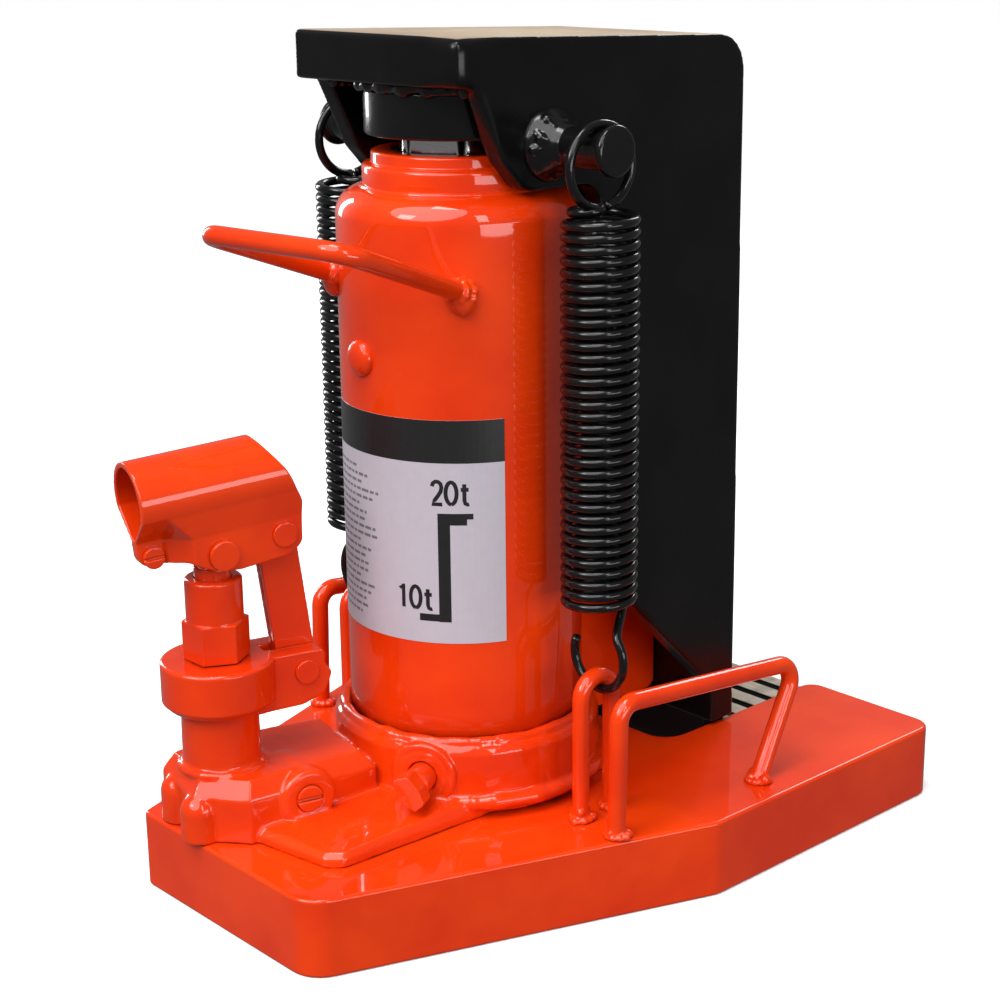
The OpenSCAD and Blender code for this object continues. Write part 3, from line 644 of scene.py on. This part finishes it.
# carrying bail
BAIL_X, BAIL_Y, BAIL_Z = 36.4, -37.7, 265.0        # its right-hand end on the tank
bail_corners = [(-BAIL_X, BAIL_Y, BAIL_Z), (-40, -111, 292), (40, -111, 292), (BAIL_X, BAIL_Y, BAIL_Z)]
spin = Matrix.Rotation(math.radians(7), 4, "Z")
bail_path = [spin @ p for p in rounded_path(bail_corners, 11, 12)]
bail_parts = [tube([p * MM for p in resample(bail_path, 2.0)], HANDLE_R * MM, 28)]
for k, (end, inner) in enumerate(((bail_path[0], bail_path[1]), (bail_path[-1], bail_path[-2]))):
    along = (inner - end).normalized()
    out = Vector((end.x, end.y, 0)).normalized()
    for r, size, step, lean in ((5.0, 2.2, 2.4, 0.6), (4.2, 1.7, 5.4, 0.35)):
        axis = (along * (1 - lean) + out * lean).normalized()
        bail_parts.append(bead(ring(end + along * step, axis, r), size, 50 + k, True, 0.25, 4.5))
    bail_parts.append(ball(end + along * 1.5 - Vector((0, 0, 3.2)), 5.6, (1, 1, 1.15)))
fuse("carrying_bail", bail_parts, "base", PAINT, ["carry_handle"], voxel=0.55, smooth=4)

# filler plug: a low dome on the tank
dome = [(0.01, 51.0), (7.6, 51.6), (7.75, 53.6), (7.5, 54.6), (6.6, 55.7), (5.0, 56.6),
        (3.0, 57.15), (0.01, 57.35)]
dome_points, dome_faces = lathe(dome, 64)
to_filler = (Matrix.Rotation(math.radians(-94), 4, "Z") @ Matrix.Translation((0, 0, 0.2346))
             @ Matrix.Rotation(math.radians(90), 4, "Y"))
fuse("filler_dome", [(turned(dome_points, to_filler), dome_faces)], "base", PAINT,
     ["filler_plug"], voxel=0.35, smooth=2)


# ---------------------------------------------------------------- label
def on_tank(angle, z, r):
    """A point of the tank's round wall: degrees and millimetres in, metres out."""
    a = math.radians(angle)
    return (r * MM * math.cos(a), r * MM * math.sin(a), z * MM)


def wrapped(name, patches, r0, r1, finish, replaces=()):
    """Thin patches wrapped on the tank, each (first angle, last angle, low z, high z)."""
    points, faces = [], []
    for first, last, low, high in patches:
        steps = max(1, math.ceil(abs(last - first) / 3))
        start = len(points)
        for k in range(steps + 1):
            angle = first + (last - first) * (k / steps)
            points += [on_tank(angle, z, r) for z, r in ((low, r0), (high, r0), (high, r1), (low, r1))]
        for k in range(steps):
            a, b = start + 4 * k, start + 4 * k + 4
            faces += [(a + i, a + (i + 1) % 4, b + (i + 1) % 4, b + i) for i in range(4)]
        end = start + 4 * steps
        faces += [(start + 3, start + 2, start + 1, start), (end, end + 1, end + 2, end + 3)]
    link(name, mesh_of(name, points, faces, False), finish, "base", replaces)


PER_DEGREE = math.pi * 53.3 / 180      # millimetres of arc for one degree
LABEL = (-124, -22, 113.5, 212)
INK_BACK, INK_FRONT = 53.19, 53.24     # the printed marks' radii, on the foil
wrapped("label_sheet", [LABEL], 52.99, 53.20, FOIL, ["name_label"])
wrapped("label_band", [(LABEL[0], LABEL[1], 193.6, LABEL[3])], INK_BACK, INK_FRONT, INK)
wrapped("lift_symbol", [(-53.3, -47.6, 123.2, 171.7), (-47.6, -36.9, 169.2, 171.7),
                        (-47.6, -39.8, 166.6, 169.2), (-62.7, -53.3, 123.4, 126.6)],
        INK_BACK, INK_FRONT, INK)

STROKES = {
    "0": [[(0.5 + 0.38 * math.sin(a), 0.5 - 0.44 * math.cos(a)) for a in
           (2 * math.pi * k / 20 for k in range(21))]],
    "1": [[(0.22, 0.78), (0.52, 0.97), (0.52, 0.03)]],
    "2": [[(0.14, 0.76), (0.2, 0.88), (0.36, 0.95), (0.56, 0.95), (0.74, 0.87), (0.8, 0.72), (0.74, 0.56),
           (0.56, 0.4), (0.3, 0.2), (0.14, 0.05), (0.84, 0.05)]],
    "t": [[(0.45, 0.86), (0.45, 0.2), (0.52, 0.08), (0.66, 0.05), (0.76, 0.07)], [(0.2, 0.64), (0.74, 0.64)]]}


def figures(name, word, angle, z, height, advance, pen):
    """Plain figures drawn with a flat pen, wrapped on the tank."""
    points, faces = [], []
    width = height * 0.56
    for k, letter in enumerate(word):
        for stroke in STROKES[letter]:
            line = [(k * advance + x * width, y * height) for x, y in stroke]
            left, right = [], []
            for i, (x, y) in enumerate(line):
                before, after = line[max(i - 1, 0)], line[min(i + 1, len(line) - 1)]
                t = Vector((after[0] - before[0], after[1] - before[1])).normalized()
                left.append((x - t.y * pen / 2, y + t.x * pen / 2))
                right.append((x + t.y * pen / 2, y - t.x * pen / 2))
            start = len(points)
            for pair in zip(left, right):
                for r in (53.18, 53.245):
                    points += [on_tank(angle + x / PER_DEGREE, z + y, r) for x, y in pair]
            for i in range(len(line) - 1):
                a, b = start + 4 * i, start + 4 * i + 4
                faces += [(a, a + 1, b + 1, b), (a + 2, b + 2, b + 3, a + 3), (a, b, b + 2, a + 2),
                          (a + 1, a + 3, b + 3, b + 1)]
            end = start + 4 * (len(line) - 1)
            faces += [(start, start + 2, start + 3, start + 1), (end, end + 1, end + 3, end + 2)]
    link(name, mesh_of(name, points, faces, False), INK, "base")


FIGURE = {"height": 11.0, "advance": 5.9, "pen": 1.7}
figures("figures_top", "20t", -56.5, 175.2, **FIGURE)
figures("figures_low", "10t", -74.3, 128.2, **FIGURE)

# rows of plain dashes in place of small print
random.seed(7)
dashes = []
for row in range(21):
    z = 186.0 - row * 3.3
    angle = -122.0
    stop = -88.0 + random.uniform(-9, 3) if row % 5 else -100.0
    while angle < stop:
        length = random.uniform(2.0, 6.0)
        dashes.append((angle, min(angle + length, stop + 1), z, z + 1.25))
        angle += length + 1.1
wrapped("label_dashes", dashes, INK_BACK, 53.235, PRINT)

# ---------------------------------------------------------------- carriage
CARRIAGE_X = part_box("head_plate")[1][0] / MM
HEAD_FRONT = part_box("head_plate")[0][1] / MM


def front_corner(point):
    """How much a point near the head's right-hand front corner is melted round, from 0 to 1."""
    away = math.hypot(point[0] - CARRIAGE_X, point[1] - HEAD_FRONT)
    return max(0.0, 1.0 - away / 22.0) if point[2] > 318 else 0.0


PLATES = ["head_plate", "side_plate_left", "side_plate_right", "back_plate"]
fuse("carriage_shell", [cad_mesh(*PLATES)], "carriage", HEAD, PLATES,
     voxel=0.9, smooth=6, keep=0.12, soft_at=front_corner)
soften_cad("toe", TOE, width=0.5, segments=2)

CAP_R, CAP_LOW, CAP_HIGH, CAP_SEAM_R = 39.8, 325.0, 344.1, 40.2
cap = rounded([(0.01, CAP_LOW), (CAP_R, CAP_LOW), (CAP_R, CAP_HIGH), (0.01, CAP_HIGH)], [0, 1.6, 1.0, 0], 5)
link("ram_cap_turned", mesh_of("ram_cap_turned", *lathe(cap, 160)), BLACK,
     "carriage", ["ram_cap"])


def head_under(y):
    """The height of the head plate's sloping underside."""
    return 347.5 - (y + 45.7) * math.tan(math.radians(2.2))


cap_seam = [Vector((CAP_SEAM_R * math.cos(a), CAP_SEAM_R * math.sin(a),
                    head_under(CAP_SEAM_R * math.sin(a)) - 1.2))
            for a in (2 * math.pi * k / 120 for k in range(120))]
fuse("cap_weld", [bead(cap_seam, 3.0, 60, True, 0.3, 11.0), bead(cap_seam, 2.4, 61, True, 0.6, 23.0)],
     "carriage", BURNT, voxel=0.5, smooth=6, rough=(1.1, 9))

PLATE_SEAM_X = 41.8
POST_Y, POST_Z = 5.0, 323.0


def along_x(profile, side):
    """A profile turned about the spring posts' axis, towards +X or, mirrored, -X."""
    points, faces = lathe(profile, 96)
    place = Matrix.Translation((0, POST_Y * MM, POST_Z * MM)) @ Matrix.Rotation(math.radians(90), 4, "Y")
    points = turned(points, place)
    if side > 0:
        return points, faces
    return [(-x, y, z) for x, y, z in points], [tuple(reversed(f)) for f in faces]


for word, side in BOTH_SIDES:
    seam = [(side * PLATE_SEAM_X, y, head_under(y) - 0.6) for y in (-34, 0, 40, 80, 110)]
    foot_seam = [(side * PLATE_SEAM_X, 111.0, z) for z in (58, 150, 250, 340)]
    fuse("plate_welds_" + word, [bead(seam, 2.8, 70 + side, False, 0.3, 4.0),
                                 bead(foot_seam, 2.6, 72 + side, False, 0.25, 4.0)],
         "carriage", BLACK_SMOOTH, voxel=0.6, smooth=3)

    shaft = rounded([(0.01, 51.0), (8.0, 51.0), (8.0, 86.6), (10.5, 86.6), (10.5, 90.2),
                     (0.01, 90.2)], [0, 0, 1.2, 0.8, 1.3, 0], 4)
    root = [(0.01, 51.0), (15.6, 51.0), (14.8, 53.4), (12.4, 56.6), (10.2, 60.0), (8.6, 63.4),
            (0.01, 64.0)]
    dice = random.Random(80 + side)
    lumps = []
    for k in range(16):
        angle, along = dice.uniform(0, 2 * math.pi), dice.uniform(0, 1)
        reach = 13.4 - 4.6 * along
        centre = (side * (52.6 + 7.5 * along), POST_Y + reach * math.cos(angle),
                  POST_Z + reach * math.sin(angle))
        lumps.append(ball(centre, dice.uniform(2.0, 3.6) * (1 - 0.4 * along)))
    fuse("spring_post_" + word + "_welded", [along_x(shaft, side), along_x(root, side), *lumps],
         "carriage", BLACK_SMOOTH, ["spring_post_" + word], voxel=0.55, smooth=9)

soften_cad("ram", CHROME)
soften_cad("ram_piston", STEEL)
soften_cad("ram_seal", RUBBER)

# ---------------------------------------------------------------- springs
SPRING_X, SPRING_Y, WIRE_R, COIL_R, TURNS = EYE_X, 5.0, 2.0, 14.5, 34.75
LOOP_R, LOOP_Z, COIL_TOP, COIL_BOTTOM, HOOK_R = 16.6, 316.5, 299.9, 132.0, 14.5
HOOK_FROM = 38                         # degrees round the hook where the straight lead ends
HOOK_GAP = 0.3                         # between the hook's wire and the eye's rod
HOOK_Z = EYE_TOP - EYE_R - WIRE_R - HOOK_GAP + HOOK_R
WIRE_SIDES = 12


def ease(t):
    """Smoothly from 0 to 1."""
    t = max(0.0, min(1.0, t))
    return t * t * (3 - 2 * t)


def on_hook(a):
    return Vector((HOOK_R * math.cos(a), 0, HOOK_Z + HOOK_R * math.sin(a)))


def spring_line():
    """The wire's centre line, from the upper loop down to the hook, for the right-hand spring."""
    line = [Vector((0, LOOP_R * 1.05 * math.cos(a), LOOP_Z + LOOP_R * math.sin(a)))
            for a in (math.radians(d) for d in range(-80, 262, 6))]
    steps = 30                         # points in one turn
    for i in range(int(TURNS * steps) + 1):
        turn = i / steps
        r = COIL_R * ease(turn / 0.55)
        z = COIL_TOP - (COIL_TOP - COIL_BOTTOM) * turn / TURNS
        a = -2 * math.pi * turn
        line.append(Vector((r * math.cos(a), r * math.sin(a), z)))
    # the wire leaves the last coil and bends down into the hook's right-hand side
    a = math.radians(HOOK_FROM)
    start, end = line[-1], on_hook(a)
    lead_in, lead_out = start + Vector((7, -2, -3)), end - 6 * Vector((math.sin(a), 0, -math.cos(a)))
    for t in (k / 14 for k in range(1, 15)):
        line.append((1 - t) ** 3 * start + 3 * t * (1 - t) ** 2 * lead_in
                    + 3 * t * t * (1 - t) * lead_out + t ** 3 * end)
    return line + [on_hook(math.radians(d)) for d in range(HOOK_FROM - 6, -206, -6)]


for word, side in BOTH_SIDES:
    line = [Vector(((SPRING_X + p.x) * side, SPRING_Y + p.y, p.z)) * MM for p in spring_line()]
    points, faces = tube(line, WIRE_R * MM, WIRE_SIDES)
    if side < 0:
        faces = [tuple(reversed(f)) for f in faces]
    mesh = mesh_of("spring_" + word + "_wire", points, faces)
    spring = add_object(mesh.name, mesh)
    mesh.materials.append(BLACK_SMOOTH)
    low, high = (HOOK_Z + HOOK_R) * MM, COIL_TOP * MM
    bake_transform(spring, "base", "carriage", start=(0, 0, low), end=(0, 0, high))
    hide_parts("spring_" + word)
    # each ring of the wire takes its centre's share, evenly along the coil, so the wire stays round
    share = np.repeat(np.clip([(p.z - low) / (high - low) for p in line], 0, 1), WIRE_SIDES)
    mesh.attributes["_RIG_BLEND"].data.foreach_set("value", share.astype(np.float32))

# ---------------------------------------------------------------- pump
fuse("socket_sheet", [cad_mesh("handle_socket")], "socket", PAINT, ["handle_socket"],
     voxel=0.45, smooth=4, keep=0.4)
fuse("swivel_collar", [cad_mesh("swivel_ring")], "swivel", PAINT, ["swivel_ring"],
     voxel=0.5, smooth=4, keep=0.4)
fuse("gland_hexagon", [cad_mesh("gland_nut")], "base", PAINT, ["gland_nut"],
     voxel=0.4, smooth=3, keep=0.4)
fuse("link_bars", [cad_mesh("link_plates")], "link", PAINT, ["link_plates"],
     voxel=0.4, smooth=3, keep=0.4)
for name, body in (("lower_link_pin", "swivel"), ("upper_link_pin", "socket"), ("piston_pin", "piston"),
                   ("clamp_screw", "socket"), ("release_valve", "valve"), ("relief_plug", "base")):
    fuse(name + "_painted", [cad_mesh(name)], body, PAINT, [name], voxel=0.3, smooth=3, keep=0.5)
fuse("pump_piston_painted", [cad_mesh("pump_piston")], "piston", PAINT, ["pump_piston"],
     voxel=0.35, smooth=2, keep=0.4)

for name, finish in (("pump_cylinder", STEEL), ("main_cylinder", STEEL), ("release_ball", STEEL),
                     ("relief_spring", STEEL), ("relief_ball", STEEL), ("check_plugs", STEEL),
                     ("check_balls", STEEL), ("tank_gasket", RUBBER), ("rod_wiper", RUBBER),
                     ("pump_seal", RUBBER), ("cylinder_gasket", COPPER)):
    soften_cad(name, finish)

# ---------------------------------------------------------------- stage, lights and camera
floor = add_object("floor", mesh_of(
    "floor", [(-30, -30, 0), (30, -30, 0), (30, 30, 0), (-30, 30, 0)], [(0, 1, 2, 3)]))
pale = Nodes("pale_floor")
pale.set(Base_Color=(0.88, 0.88, 0.88, 1), Roughness=0.6, Specular_IOR_Level=0.1,
         Emission_Color=(1, 1, 1, 1), Emission_Strength=0.16)
floor.data.materials.append(pale.material)
floor.visible_glossy = floor.visible_diffuse = False

world = bpy.data.worlds.new("studio")
bpy.context.scene.world = world
world.use_nodes = True
background = world.node_tree.nodes["Background"]
background.inputs["Color"].default_value = (1, 1, 1, 1)
# a dim room for the object, but white where it is seen beyond the floor's edge
light_path = world.node_tree.nodes.new("ShaderNodeLightPath")
strength = world.node_tree.nodes.new("ShaderNodeMapRange")
strength.inputs["To Min"].default_value = 0.2
strength.inputs["To Max"].default_value = 1.0
world.node_tree.links.new(light_path.outputs["Is Camera Ray"], strength.inputs["Value"])
world.node_tree.links.new(strength.outputs["Result"], background.inputs["Strength"])


def aim(lamp, direction):
    lamp.rotation_mode = "QUATERNION"
    lamp.rotation_quaternion = direction.to_track_quat("-Z", "Y")


def softbox(name, place, target, width, height, power):
    """A soft rectangular light. Metres and watts."""
    light = bpy.data.lights.new(name, "AREA")
    light.shape, light.size, light.size_y, light.energy = "RECTANGLE", width, height, power
    lamp = add_object(name, light)
    lamp.location = place
    aim(lamp, Vector(target) - Vector(place))


softbox("key", (-0.15, -1.55, 1.25), (0, 0, 0.15), 0.45, 0.45, 7)
softbox("top", (0.1, -0.25, 1.8), (0, 0, 0.1), 0.5, 0.5, 9)
softbox("side", (1.5, -0.5, 1.2), (0, 0, 0.1), 0.3, 0.8, 6)
softbox("strip", (-1.5, 0.05, 0.55), (0, 0, 0.2), 0.25, 0.8, 8)
softbox("fill", (1.35, -0.1, 0.3), (0.1, 0.0, 0.03), 0.9, 0.35, 5.5)
softbox("rim", (-0.5, 1.5, 1.2), (0, 0, 0.2), 0.6, 0.6, 9)
sky = bpy.data.lights.new("sky", "SUN")
sky.energy, sky.angle = 3.35, math.radians(60)
aim(add_object("sky", sky), Vector((-0.1, 0.62, -0.76)))
bpy.context.scene.view_settings.view_transform = "Standard"

AZIMUTH, ELEVATION, ROLL = (math.radians(a) for a in (47.85, 16.45, -0.69))
back = Vector((math.sin(AZIMUTH) * math.cos(ELEVATION), -math.cos(AZIMUTH) * math.cos(ELEVATION),
               math.sin(ELEVATION)))
right = Vector((math.cos(AZIMUTH), math.sin(AZIMUTH), 0))
up = back.cross(right)
cos_roll, sin_roll = math.cos(ROLL), math.sin(ROLL)
lens = bpy.data.cameras.new("camera")
camera = add_object("camera", lens)
lens.sensor_width, lens.lens = 36, 71.03
lens.shift_x, lens.shift_y = 0.0074, -0.0060
lens.clip_start, lens.clip_end = 0.05, 100
CAMERA_PLACE = (0.6358, -0.5579, 0.4143)
view = Matrix((cos_roll * right + sin_roll * up, cos_roll * up - sin_roll * right, back))
view = view.transposed().to_4x4()
view.translation = CAMERA_PLACE
camera.matrix_world = view
bpy.context.scene.camera = camera
